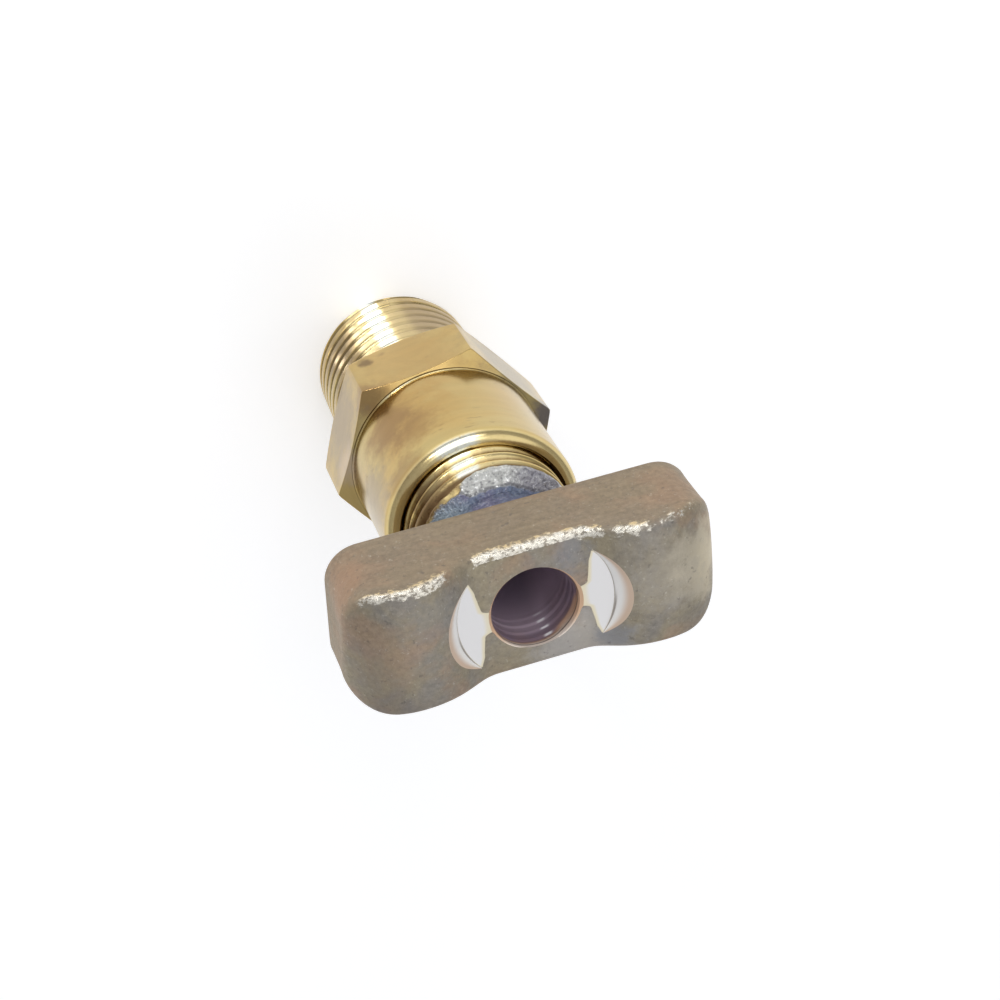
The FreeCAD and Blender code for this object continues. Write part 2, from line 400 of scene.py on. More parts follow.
brassLook = {
    "gold": (0.58, 0.445, 0.185),
    "warm": (0.57, 0.385, 0.135),
    "bright": (0.93, 0.94, 0.83),
    "yellow": (0.80, 0.65, 0.33),
    "brown": (0.30, 0.175, 0.075),
    "grime": (0.17, 0.105, 0.05),
    "pinkGrey": (0.36, 0.28, 0.195),
    "roughness": (0.20, 0.34),
}
# Patches on the body, most of them painted reflections: the brown rows on the -X side paint dark
# reflections and shade, the pink-grey and pale rows lighter reflections, the blue-black row on the
# hexagon's +X corner a dark reflection and the last row a pale reflection on the barrel.
bodyStains = [
    ((-1.2, 7.9, 14.0), 6.5, 0.55, (0.50, 0.32, 0.12)),
    ((-3.6, 6.8, 21.4), 5.5, 0.55, (0.50, 0.295, 0.09)),
    ((-3.4, 6.8, 23.4), 2.8, 0.45, brassLook["brown"]),
    ((-5.0, 5.8, 21.0), 3.6, 0.70, brassLook["brown"]),
    ((-5.4, 7.0, 17.0), 2.2, 0.70, brassLook["brown"]),
    ((-5.2, 5.3, 27.3), 2.6, 0.55, brassLook["brown"]),
    ((-8.5, 3.4, 13.6), 5.5, 0.75, brassLook["pinkGrey"]),
    ((-7.2, 2.2, 24.0), 4.0, 0.60, brassLook["pinkGrey"], 1.2),
    ((-8.3, 1.4, 16.5), 2.2, 0.60, (0.62, 0.48, 0.36)),
    ((6.3, 4.9, 14.0), 5.5, 0.80, (0.31, 0.245, 0.14)),
    ((3.1, 5.8, 6.0), 7.0, 0.80, (0.48, 0.375, 0.235), 0.8, 0.28),
    ((-4.9, 4.5, 3.8), 4.0, 0.80, (0.27, 0.185, 0.09), 0.8, 0.06),
    ((-4.9, 4.7, 8.6), 4.0, 0.80, (0.27, 0.185, 0.09), 0.8, 0.06),
    ((2.0, 7.7, 11.6), 0.7, 0.80, brassLook["grime"], 1.1),
    ((-4.4, 7.4, 12.3), 0.8, 0.75, brassLook["grime"], 1.6),
    ((-2.9, 7.6, 11.9), 0.6, 0.40, brassLook["brown"], 1.6),
    ((8.5, 1.3, 16.9), 2.0, 0.75, (0.12, 0.12, 0.16), 0.5),
    ((7.6, 1.0, 24.5), 3.5, 0.30, (0.70, 0.66, 0.55), 1.2),
]
# Darker brown patches on the -X side of the stem's thread and neck
stemStains = [
    ((-4.4, 4.6, 29.6), 3.4, 0.75, (0.20, 0.12, 0.055), 2.2),
    ((-5.6, 2.8, 30.6), 2.6, 0.75, (0.20, 0.12, 0.055), 2.2),
]


# Painted highlight on brass: golden where the mark is half, nearly white where it is full.
def rubBare(rubbed, colour):
    return layers(colour, brassLook, yellow=band(rubbed, 0.0, 0.55), bright=band(rubbed, 0.5, 1.0))


# Turned brass: gold with warm patches, tool rings, faint dulling, painted shade and grime in the grooves,
# patches of stain and of painted light and shade, and painted highlights.
def makeTurnedBrass(name, rings, ringDepth, dulling, stains=(), grooveDirt=0.0):
    material, tree, shader = startMaterial(name, 1.0)
    ring = useGroup(tree, turningRings, Scale=rings, Waver=0.25)
    patch = useGroup(tree, tarnish, Size=4.5, Spread=0.5, Softness=0.2)
    dulled = useGroup(tree, tarnish, Size=2.6, Spread=dulling, Softness=0.1)
    dull = times(dulled["Mask"], band(dulled["Fine"], 0.35, 0.7, 0.1, 0.5))
    colour = blend(times(patch["Mask"], 0.7), brassLook["gold"], brassLook["warm"])
    if grooveDirt:
        # Painted shade and grime in the thread's grooves
        patchy = band(patch["Fine"], 0.2, 0.7, 0.6 * grooveDirt, grooveDirt)
        colour = blend(times(band(markOf(tree, "groove"), 0.08, 0.6), patchy), colour, brassLook["grime"])
    colour = blend(dull, colour, brassLook["brown"])
    colour = blend(times(ring["Dashes"], 0.45), colour, brassLook["brown"])
    colour, matt = addStains(colour, stains)
    # Painted highlights where the mesh marks them
    rubbed = times(markOf(tree, "rubbed"), band(dulled["Fine"], 0.3, 0.5, 0.75, 1.0))
    colour = shadeBy(rubBare(rubbed, colour), band(ring["Streak"], 0.0, 1.0, 0.975, 1.015))
    roughness = plus(band(plus(dull, times(patch["Fine"], 0.3)), 0.1, 0.7, *brassLook["roughness"]), matt)
    bumps = plus(times(ring["Height"], ringDepth), patch["Fine"])
    finishMaterial(shader, colour, roughness, bumps, 0.2, 0.02)
    return material


castLook = {
    "olive": (0.36, 0.31, 0.22),
    "grey": (0.30, 0.275, 0.24),
    "side": (0.34, 0.26, 0.17),
    "copper": (0.46, 0.29, 0.185),
    "pit": (0.13, 0.11, 0.10),
    "speck": (0.80, 0.76, 0.66),
    "wornEdge": (0.86, 0.81, 0.70),
    "wornGold": (0.74, 0.57, 0.32),
    "wornPit": (0.22, 0.185, 0.14),
    "facedMetal": (0.70, 0.69, 0.685),
    "facedWarm": (0.70, 0.62, 0.42),
    "wallCream": (1.0, 0.98, 0.94),
    "wallBeige": (0.76, 0.58, 0.44),
    "wallFoot": (0.22, 0.17, 0.13),
    "streaks": (0.13, 0.5, 2.6),
    "metallic": 0.82,
}
# Patches on the handle: stains and tones, with painted light among them: the pale patch at the +X end is a
# painted highlight, the two blue-grey patches by the hole paint sky reflections.
handleStains = [
    ((-12.9, 4.4, 37.8), 2.8, 0.60, castLook["copper"]),
    ((-11.5, -1.0, 41.0), 3.2, 0.30, (0.46, 0.36, 0.25)),
    ((12.6, 0.4, 41.5), 4.2, 0.95, (0.70, 0.62, 0.46)),
    ((-10.5, -5.0, 40.0), 3.5, 0.35, (0.26, 0.22, 0.22)),
    ((3.0, -4.6, 40.2), 5.0, 0.70, (0.52, 0.49, 0.46)),
    ((3.2, 3.4, 40.6), 1.9, 0.50, (0.26, 0.28, 0.32), 1.2),
    ((5.3, -3.8, 41.0), 1.8, 0.50, (0.26, 0.28, 0.32), 1.2),
    ((-7.5, 2.0, 41.6), 2.6, 0.35, (0.28, 0.28, 0.28), 1.6),
    ((9.4, 0.5, 42.0), 4.5, 0.45, (0.45, 0.41, 0.35), 1.4),
]


# Spot-face: ragged where it skims the skin. Its wall is painted pale as painted light, cream with beige
# above, and at its foot on -Y darkened as painted shade.
def addFacing(shader, broken, colour, roughness, height):
    tree = shader.id_data
    lift, wall = markOf(tree, "faced"), markOf(tree, "wall")
    cut = calc("MAXIMUM", band(plus(lift, swing(broken, 0.03)), -0.004, 0.008), band(wall, 0.0, 0.05))
    skimmed = times(band(lift, 0.03, 0.13, 1.0, 0.0), band(wall, 0.0, 0.05, 1.0, 0.0))
    # Painted shade at the foot of the wall on -Y
    foot = times(window(wall, 0.01, 0.08, 0.08, 0.2), band(axesOf(tree)[1], -1.6, 0.2, 0.85, 0.0))
    metal = layers(castLook["facedMetal"], castLook, facedWarm=times(skimmed, 0.8),
                   wallCream=band(wall, 0.0, 0.1), wallBeige=band(wall, 0.3, 0.85), wallFoot=foot)
    feed(shader.inputs["Metallic"], band(wall, 0.02, 0.1, castLook["metallic"], 0.3))
    smooth = times(useGroup(tree, turningRings, Scale=7.0, Waver=0.0)["Height"], 0.12)
    dull = minus(1.0, cut)
    roughness = plus(times(dull, roughness), times(cut, 0.4))
    return blend(cut, colour, metal), roughness, plus(times(dull, height), times(cut, smooth))


# Cast bronze: mottled olive and grey with pits and bare specks, browner sides with lengthwise streaks,
# coppery patches, patches of stain and of painted light, and worn front edges with a painted highlight on
# +Y.
def makeCastBronze(name, withFacing):
    material, tree, shader = startMaterial(name, castLook["metallic"])
    skin = useGroup(tree, castSkin, Grain=1.0)
    mottle = useGroup(tree, tarnish, Size=3.2, Spread=0.5, Softness=0.18)
    coppery = useGroup(tree, tarnish, Size=4.5, Spread=0.42, Softness=0.12)
    drawn = noise(placeOn(tree, castLook["streaks"]), 1.0, 4.0, 0.6)
    broken = noise(placeOn(tree, (0.7, 1, 1)), 2.6, 5.0, 0.75)
    chips = noise(placeOn(tree, (0.6, 1, 1)), 4.2, 3.0, 0.6)
    gilt = noise(placeOn(tree), 0.9, 2.0)
    flank, edge = markOf(tree, "flank"), markOf(tree, "edge")
    colour = layers(castLook["olive"], castLook, grey=mottle["Mask"], side=times(flank, 0.8),
                    copper=times(coppery["Mask"], 0.42))
    streak = plus(1.0, times(flank, band(drawn, 0.3, 0.7, -0.07, 0.05)))
    colour = shadeBy(colour, times(streak, band(mottle["Fine"], 0.25, 0.75, 0.86, 1.12)))
    colour = layers(addStains(colour, handleStains)[0], castLook, pit=times(skin["Pits"], 0.4),
                    speck=times(skin["Specks"], 0.25))
    # Worn front edges; on +Y the wear is lit as a painted highlight
    worn = times(band(plus(edge, swing(broken, 2.6)), 0.45, 0.75), band(edge, 0.02, 0.2))
    golden = plus(flank, swing(gilt, 0.8))
    bare = layers(castLook["wornEdge"], castLook, wornGold=band(golden, 0.5, 0.9),
                  wornPit=band(chips, 0.5, 0.6, 0.0, 0.75))
    colour = blend(worn, colour, bare)
    roughness = band(worn, 0.0, 1.0, 0.54, 0.24)
    height = plus(skin["Height"], times(times(drawn, flank), 0.25))
    height = plus(height, times(times(chips, edge), 2.6))
    if withFacing:
        colour, roughness, height = addFacing(shader, broken, colour, roughness, height)
    finishMaterial(shader, colour, roughness, height, 0.5, 0.09)
    return material


# Neck colours: grey and blue paint one skin lit and shaded; shaded, paleBlue and sparkle paint shade, a
# highlight and glints
neckLook = {
    "grey": (0.60, 0.60, 0.57),
    "shaded": (0.34, 0.33, 0.36),
    "blue": (0.165, 0.20, 0.28),
    "paleBlue": (0.31, 0.37, 0.42),
    "violet": (0.23, 0.21, 0.31),
    "dark": (0.08, 0.08, 0.10),
    "sparkle": (0.95, 0.95, 0.92),
    "raggedness": 0.7,
}


# Rough neck: thread metal to a ragged border, then one skin painted lit and shaded: grey with painted
# sparkles, darker on +X as painted shade, a dark line, and a blue band of painted shade and sky reflection
# with a pale painted highlight on -X.
def makeRoughNeck():
    material, tree, shader = startMaterial("roughNeck", 0.9)
    skin = useGroup(tree, castSkin, Grain=1.9)
    patch = useGroup(tree, tarnish, Size=3.0, Spread=0.5, Softness=0.15)
    left = useGroup(tree, stain, X=-4.0, Y=3.2, Z=32.8, Reach=3.2)["Mask"]
    right = useGroup(tree, stain, X=3.9, Y=4.2, Z=31.6, Reach=3.4)["Mask"]
    grit = noise(placeOn(tree), 3.6, 4.0, 0.65)
    x, y, z = axesOf(tree)
    ragged = plus(z, swing(noise(placeOn(tree), 0.9, 5.0, 0.65), neckLook["raggedness"]))
    height = plus(ragged, band(x, *neck["blueRises"], 0.0))
    blueFrom = neck["blueFrom"]
    # Blue band below: the skin in painted shade reflecting sky
    blued = band(height, blueFrom, blueFrom + 0.12)
    blue = layers(neckLook["blue"], neckLook, violet=patch["Mask"], paleBlue=left)
    colour = blend(blued, blend(right, neckLook["grey"], neckLook["shaded"]), blue)
    line = window(height, blueFrom - 0.16, blueFrom - 0.06, blueFrom, blueFrom + 0.1)
    colour = blend(times(line, 0.6), colour, neckLook["dark"])
    glints = times(band(grit, 0.53, 0.62, 0.0, 0.9), band(blued, 0.0, 1.0, 1.0, 0.22))
    colour = layers(colour, neckLook, dark=band(grit, 0.32, 0.48, 0.6, 0.0),
                    sparkle=times(glints, band(right, 0.0, 1.0, 1.0, 0.3)))
    border = minus(ragged, band(x, *neck["runsOnFrom"][::-1], neck["runsOn"], 0.0))
    bright = band(border, neck["roughFrom"], neck["roughFrom"] + 0.15, 1.0, 0.0)
    # Painted shade and grime in the thread's grooves
    dirt = times(band(markOf(tree, "groove"), 0.05, 0.5), 0.92)
    thread = blend(dirt, rubBare(markOf(tree, "rubbed"), brassLook["gold"]), brassLook["grime"])
    colour = blend(bright, colour, addStains(thread, stemStains)[0])
    roughness = band(grit, 0.56, 0.64, 0.42, 0.24)
    lumps = times(plus(grit, times(skin["Height"], 0.3)), minus(1.0, bright))
    finishMaterial(shader, colour, roughness, lumps, 0.9, 0.16)
    return material


# Hole colours: deep and deepest paint the walls paler below the rim as painted light, cream is a painted
# highlight on the rim, line a ring of painted shade
boreLook = {
    "dark": (0.30, 0.21, 0.24),
    "blue": (0.24, 0.21, 0.31),
    "line": (0.16, 0.09, 0.06),
    "brown": (0.55, 0.34, 0.22),
    "deep": (0.58, 0.47, 0.55),
    "deepFrom": (0.8, 3.2),
    "deepest": (0.42, 0.35, 0.43),
    "deepestFrom": (2.6, 7.4),
    "copper": (0.84, 0.56, 0.36),
    "cream": (0.97, 0.86, 0.74),
    "bareTo": 0.6,
    "metallic": 0.3,
}


# Drilled hole: violet-brown oxide, painted paler deeper down as painted light; under the rim bare coppery
# metal, cream at the bottom as painted highlight and browner deeper down, with a dark ring of painted
# shade; painted white glints on the rings.
def makeDrilledHole():
    material, tree, shader = startMaterial("drilledHole", boreLook["metallic"])
    ring = useGroup(tree, turningRings, Scale=3.2, Waver=0.3)
    patch = useGroup(tree, tarnish, Size=3.0, Spread=0.45, Softness=0.2)
    depth = plus(markOf(tree, "depth"), times(ring["Height"], 0.3))
    oxide = layers(boreLook["dark"], boreLook, blue=times(patch["Mask"], 0.5),
                   deep=band(depth, *boreLook["deepFrom"]), deepest=band(depth, *boreLook["deepestFrom"]))
    metal = layers(boreLook["cream"], boreLook, copper=band(axesOf(tree)[1], -2.9, -1.2),
                   brown=band(depth, 0.32, 0.7), line=times(window(depth, 0.26, 0.32, 0.36, 0.44), 0.8))
    colour = blend(band(depth, boreLook["bareTo"], boreLook["bareTo"] + 0.25, 1.0, 0.0), oxide, metal)
    colour = blend(markOf(tree, "rubbed"), colour, (1, 1, 1))
    finishMaterial(shader, colour, band(ring["Streak"], 0.0, 1.0, 0.3, 0.4), ring["Height"], 0.4, 0.05)
    return material


# Black rubber with a faint grain and pale dust.
def makeWasherRubber():
    material, tree, shader = startMaterial("washerRubber", 0.0)
    dust = useGroup(tree, tarnish, Size=2.0, Spread=0.4, Softness=0.15)
    colour = blend(times(dust["Mask"], 0.4), (0.022, 0.022, 0.024), (0.09, 0.085, 0.08))
    finishMaterial(shader, colour, band(dust["Fine"], 0.2, 0.8, 0.55, 0.8), dust["Fine"], 0.3, 0.05)
    return material


# Body

body = {
    "columns": 240,
    "firstAngle": 8.0,
    "pipeEndRadius": 6.65,
    "pipeRadius": 0.27 * inch,
    "taperOnRadius": 1 / 32,
    "pipeChamferRadius": 6.5,
    "hexBack": 10.85,
    "hexFront": 17.2,
    "flatToFlat": 0.625 * inch,
    "hexFaceRadius": 7.8,
    "hexChamfer": 30.0,
    "hexSharpness": 150,
    "barrelRadius": 7.625,
    "lipRound": 0.95,
    "lipRows": 9,
    "boreRadius": 6.4,
    "boreFloor": 15.27,
    "mouthRelief": (1.0, 1.5),
    "shoulder": 1.2,
    "chamberRadius": 4.5,
    "inletRadius": 2.6,
    "inletWall": 3.0,
    "seatRadius": 3.3,
    "seatHeight": 3.4,
}
# Painted highlight patches of a thread: middle and half width in degrees, and how bright
pipeThread = {
    "pitch": inch / 18,
    "depth": 0.25,
    "rowsPerTurn": 20,
    "crestFlat": 0.5,
    "rootFlat": 0.04,
    "phaseZ": 0.0,
    "rubbed": [(103, 12, 1.0), (90, 14, 0.3), (116, 11, 0.5)],
    "rubbedOnCrest": 0.25,
}
stemThread = {
    "pitch": inch / 20,
    "depth": 0.6,
    "rowsPerTurn": 12,
    "crestFlat": 0.2,
    "rootFlat": 0.04,
    "phaseZ": 19.045,
    "rubbed": [(101, 15, 1.0), (82, 30, 0.4), (122, 16, 0.22)],
    "rubbedOnCrest": 0.85,
}
boreThread = dict(stemThread, rowsPerTurn=6)


# Pipe thread: the taper's crest less the groove, and the chamfer at the pipe end where that is lower.
def pipeRadiusAt(heights, share):
    crest = np.minimum(body["pipeEndRadius"] + heights * body["taperOnRadius"], body["pipeRadius"])
    ridges = crest - pipeThread["depth"] * grooveAt(heights, share, pipeThread)
    return np.minimum(ridges, body["pipeChamferRadius"] + heights)


# Bore: the stem's thread outside in, which grows in below the mouth, and the mouth's countersink.
def boreRadiusAt(heights, share):
    mouthCut = body["barrelRadius"] - body["lipRound"] - (bodyHigh - heights)
    growing = softStep(bodyHigh - heights, *body["mouthRelief"])
    ridges = body["boreRadius"] - boreThread["depth"] * growing * grooveAt(heights, share, boreThread)
    return np.maximum(ridges, mouthCut)


def buildBody(brass, threadBrass):
    plain, threaded = range(2)
    angles = radians(body["firstAngle"]) + turn * np.arange(body["columns"]) / body["columns"]
    back, front, faceRadius = body["hexBack"], body["hexFront"], body["hexFaceRadius"]
    barrelRadius, lipRound = body["barrelRadius"], body["lipRound"]
    chamberRadius, inletWall, inletRadius = body["chamberRadius"], body["inletWall"], body["inletRadius"]
    seatRadius, seatHeight, boreFloor = body["seatRadius"], body["seatHeight"], body["boreFloor"]
    # Hexagon: half the width across flats over the high power mean of the cosines to its three flats
    flats = radians(body["firstAngle"] + 30) + radians(60) * np.arange(3)[:, None]
    power = body["hexSharpness"]
    powers = np.abs(np.cos(angles - flats)) ** power
    hexRadius = body["flatToFlat"] / 2 / powers.sum(axis=0) ** (1 / power)
    drop = (hexRadius - faceRadius) * tan(radians(body["hexChamfer"]))
    lipArc = [(barrelRadius - lipRound + lipRound * cos(a), bodyHigh - lipRound * (1 - sin(a)))
              for a in np.linspace(0, pi / 2, body["lipRows"])]
    pipeStart, pipeEnd = pipeRadiusAt(0.0, angles / turn), pipeRadiusAt(back, angles / turn)
    outside = easedProfile(
        [(pipeEnd, back), (faceRadius, back), (hexRadius, back + drop), (hexRadius, front - drop),
         (faceRadius, front), (barrelRadius, front), (barrelRadius, bodyHigh - lipRound - 0.2), lipArc[0]],
        [0.04, 0.07, 0.07, 0.04, 0.12, 0])
    chamber = easedProfile(
        [(boreRadiusAt(boreFloor, angles / turn), boreFloor),
         (body["boreRadius"] - stemThread["depth"] - 0.1, boreFloor),
         (chamberRadius, boreFloor - body["shoulder"]), (chamberRadius, inletWall), (seatRadius, inletWall),
         (seatRadius, seatHeight), (inletRadius, seatHeight), (inletRadius, 0.0), (pipeStart, 0.0)],
        [0.05, 0.2, 0.2, 0.05, 0.05, 0.05, 0.1])
    # Painted highlights: on the lip, and a thin line in the corner of hexagon and barrel
    lipUp = softStep(steps(body["lipRows"], 0, 90), 5, 30)
    lipRubbed = np.maximum(0.9 * aroundAngle(angles, 100, 26), 0.3) * lipUp
    radius, height = outside[..., 0], outside[..., 1] - front
    corner = (radius < faceRadius - 0.01) & (height > -0.01) & (height < 0.13)
    cornerBare = np.maximum(0.7 * aroundAngle(angles, 113, 20), 0.4 * aroundAngle(angles, 85, 25))
    sheets = [
        threadSheet(threaded, angles, 0.0, back, pipeThread, pipeRadiusAt),
        sheet(turnedGrid(outside, angles), plain, rubbed=corner * cornerBare),
        sheet(turnedGrid(np.array(lipArc), angles), plain, rubbed=lipRubbed),
        threadSheet(threaded, angles, boreFloor, bodyHigh, boreThread, boreRadiusAt, inward=True),
        sheet(turnedGrid(chamber, angles), threaded),
    ]
    return buildPiece("turnedBody", sheets, [brass, threadBrass], ["groove", "rubbed"])


# Handle

handle = {
    "columns": 260,
    "rows": {"front": 42, "frontEdge": 9, "side": 18, "back": 8, "backEdge": 7, "neck": 7, "flare": 8,
             "facing": 30, "wall": 9, "rings": 60, "hole": 12},
    "length": 27.399,
    "width": 10.3,
    "endSkew": 6.0,
    "cornerRadius": 2.7,
    "back": 33.895,
    "waist": 40.565,
    "crownRadius": 20.0,
    "waistRadius": 3.0,
    "rampAngle": 27.0,
    "lobeRise": 1.65,
    "lobeRadius": 7.0,
    "lobeFlat": 0.2,
    "endRadius": 5.2,
    "frontEdge": 0.6,
    "backEdge": 0.35,
    "facingRadius": 5.75,
    "facingZ": 40.535,
    "facingWall": 36.0,
    "crestHalf": (0.7, 1.1),
    "skinDrop": 0.11,
    "skinDropEnd": (4.6, 6.0),
    "skinFall": 0.05,
    "skinWaves": (3.4, 5),
    "skinDepth": 0.05,
    "calmFor": 1.5,
    "sideLumps": (4.0, 0.06, 7),
    "wornElsewhere": 0.16,
}
# Worn metal under a painted highlight on the rounded front edge of the +Y side: from where to where
# along X, and how bare and bright
wornStretches = [(-4.2, -3.5, 4.8, 6.4, 1.0), (-13.2, -11.0, -6.5, -5.4, 0.95), (5.2, 6.6, 8.2, 9.2, 0.84),
                 (8.6, 9.6, 12.0, 13.0, 0.52)]
hole = {
    "radius": 3.25,
    "chamfer": 0.22,
    "floor": 29.535,
    "drillPoint": 118.0,
    "ringPitch": 0.9,
    "ringDepth": 0.06,
    "ringsFade": (2.8, 4.4),
    "riseShare": 0.3,
    "glints": (-75, 8),
    "deepBare": (-35, 50, 0.5),
}
neck = {
    "roughFrom": 30.75,
    "runsOn": 0.74,
    "runsOnFrom": (-0.5, -2.6),
    "threadTop": 31.245,
    "blueFrom": 32.1,
    "blueRises": (-3.2, -1.2, 0.95),
    "coneTop": 32.345,
    "radius": 5.0,
    "flare": 0.8,
    "lumps": (0.9, 0.12, 11),
}
stem = {
    "threadRadius": 6.35,
    "threadBottom": 19.045,
    "chamfer": 0.7,
    "noseRadius": 3.3,
    "noseChamfer": 0.3,
    "screwHoleRadius": 1.27,
    "screwHoleTop": 12.075,
    "passageRadius": 1.7,
    "passageFloor": 14.008,
    "sideHole": 1.3,
    "sideHoleAt": 15.308,
}


# Plan of the handle: the hull of four corner circles, moved in by "inset", as points in order round the
# axis and their angles. The +X end lies at half the length plus Y times the tangent of the skew.
def outlinePoints(inset):
    skew = radians(handle["endSkew"])
    corner = handle["cornerRadius"]
    y = handle["width"] / 2 - corner
    x = handle["length"] / 2 - corner / cos(skew)
    lean = y * tan(skew)
    centres = [(x + lean, y), (lean - x, y), (-x - lean, -y), (x - lean, -y)]
    starts = -skew + np.array([0, 96, 180, 276]) * pi / 180
    sweeps = radians(96), radians(84), radians(96), radians(84)
    arcs = []
    for centre, start, sweep in zip(centres, starts, sweeps):
        normals = start + np.linspace(0, sweep, 120)
        arcs.append(centre + (corner - inset) * np.stack([np.cos(normals), np.sin(normals)], 1))
    runs = []
    for this, following in zip(arcs, arcs[1:] + arcs[:1]):
        share = steps(500)[1:-1]
        runs += [this, this[-1] * (1 - share) + following[0] * share]
    points = np.concatenate(runs)
    around = np.arctan2(points[:, 1], points[:, 0]) % turn
    order = np.argsort(around)
    return points[order], around[order]


# Distance from the axis to the plan's edge at each angle.
def outlineReach(inset, angles):
    points, around = outlinePoints(inset)
    return np.interp(angles % turn, around, np.hypot(*points.T), period=turn)


# Columns: half shared out by angle and half by length of outline, which suits both stem and sides.
def handleAngles():
    points, around = outlinePoints(0.0)
    pieces = np.hypot(*np.diff(points, axis=0, append=points[:1]).T)
    length = np.concatenate([[0], np.cumsum(pieces)[:-1]]) / pieces.sum()
    share = 0.5 * (around - around[0]) / turn + 0.5 * length
    return np.interp(np.arange(handle["columns"]) / handle["columns"], share, around)


# Front of the handle above the crown's axis: flat waist, arc, ramp, lobe arc, then the quarter-round end.
def saddleProfile(x):
    slope = radians(handle["rampAngle"])
    waist, rise = handle["crownRadius"], handle["lobeRise"]
    waistRadius, lobeRadius, endRadius = handle["waistRadius"], handle["lobeRadius"], handle["endRadius"]
    run = (rise - (waistRadius + lobeRadius) * (1 - cos(slope))) / tan(slope)
    longX = handle["length"] / 2 + handle["width"] / 2 * tan(radians(handle["endSkew"]))
    lobeEnd = longX - endRadius
    lobeX = lobeEnd - handle["lobeFlat"]
    waistX = lobeX - run - (waistRadius + lobeRadius) * sin(slope)
    arcEnd = waistX + waistRadius * sin(slope)
    x = np.minimum(np.abs(x), longX)

    def arc(radius, middle):
        return np.sqrt(np.maximum(radius ** 2 - (x - middle) ** 2, 0))

    heights = [
        waist + 0 * x,
        waist + waistRadius - arc(waistRadius, waistX),
        waist + waistRadius * (1 - cos(slope)) + (x - arcEnd) * tan(slope),
        waist + rise - lobeRadius + arc(lobeRadius, lobeX),
        waist + rise + 0 * x,
    ]
    ends = [waistX, arcEnd, arcEnd + run, lobeX, lobeEnd]
    return np.select([x < end for end in ends], heights, waist + rise - endRadius + arc(endRadius, lobeEnd))


# Crowned front: the root of saddle profile squared minus Y squared, above the crown's axis. Beside the
# waist's crest the skin steps down by "skinDrop" and falls by "skinFall" a millimetre, or lies on the
# crown where that is lower.
def skinHeight(radius, angles):
    x, y = radius * np.cos(angles), np.abs(radius * np.sin(angles))
    crown = handle["waist"] - handle["crownRadius"] + np.sqrt(saddleProfile(x) ** 2 - y ** 2)
    step = handle["skinDrop"] * softStep(y, *handle["crestHalf"])
    fall = handle["skinFall"] * np.maximum(y - handle["crestHalf"][1], 0)
    drop = np.maximum(step + fall - y ** 2 / (2 * handle["crownRadius"]), 0)
    return crown - drop * (1 - softStep(np.abs(x), *handle["skinDropEnd"]))


# Radius where the cutter's cone comes out of the front, found by halving.
def facingTop(angles, limit):
    low, high = np.minimum(handle["facingRadius"], limit), limit
    for _ in range(30):
        middle = (low + high) / 2
        cone = handle["facingZ"] + (middle - handle["facingRadius"]) / tan(radians(handle["facingWall"]))
        buried = skinHeight(middle, angles) > cone
        low, high = np.where(buried, middle, low), np.where(buried, high, middle)
    return low


# How worn the front edge is at each point, with a painted highlight on the +Y side: each stretch fades in
# and out along X, and elsewhere the wear is even.
def wearAlong(grid):
    x, y = grid[..., 0], grid[..., 1]
    worn = [most * softStep(x, start, full) * (1 - softStep(x, fade, end))
            for start, full, fade, end, most in wornStretches]
    return np.where(y > 0, np.max(worn, axis=0), handle["wornElsewhere"])


# Stem thread: its ridges fade out at the rough skin, and on the -X side run on over the neck's cone.
def stemRadiusAt(heights, share):
    left = softStep(-stem["threadRadius"] * np.cos(share * turn), *(-x for x in neck["runsOnFrom"]))
    fadeFrom = neck["roughFrom"] + neck["runsOn"] * left
    depth = stemThread["depth"] * (1 - softStep(heights, fadeFrom - 0.4, fadeFrom + 0.1))
    start = stem["threadRadius"] - stem["chamfer"] + heights - stem["threadBottom"]
    coneSlope = (stem["threadRadius"] - neck["radius"]) / (neck["coneTop"] - neck["threadTop"])
    crest = np.minimum(stem["threadRadius"], neck["radius"] + (neck["coneTop"] - heights) * coneSlope)
    return np.minimum(crest - depth * grooveAt(heights, share, stemThread), start)


# Side holes of the nose: a cylinder along X cut out of the piece.
def cutSideHoles(piece, material):
    around = turn * np.arange(48) / 48
    radius = np.array([0, stem["sideHole"], stem["sideHole"], 0])[:, None]
    along = np.array([-1, -1, 1, 1])[:, None] * (stem["noseRadius"] + 1)
    cylinder = np.roll(ringPoints(radius, around, along), 1, axis=-1) + [0, 0, stem["sideHoleAt"]]
    cutter = buildPiece("sideHoleCutter", [sheet(cylinder, 0)], [material], [])
    cut = piece.modifiers.new("sideHoles", "BOOLEAN")
    cut.operation, cut.solver, cut.object, cut.material_mode = "DIFFERENCE", "EXACT", cutter, "TRANSFER"
    mesh = bpy.data.meshes.new_from_object(piece.evaluated_get(bpy.context.evaluated_depsgraph_get()))
    piece.modifiers.clear()
    whole, piece.data = piece.data, mesh
    mesh.name = piece.name
    for data in (whole, cutter.data):
        bpy.data.meshes.remove(data)
    smoothShade(mesh)
    print(piece.name, "cut, now", sum(len(face.vertices) - 2 for face in mesh.polygons), "triangles")


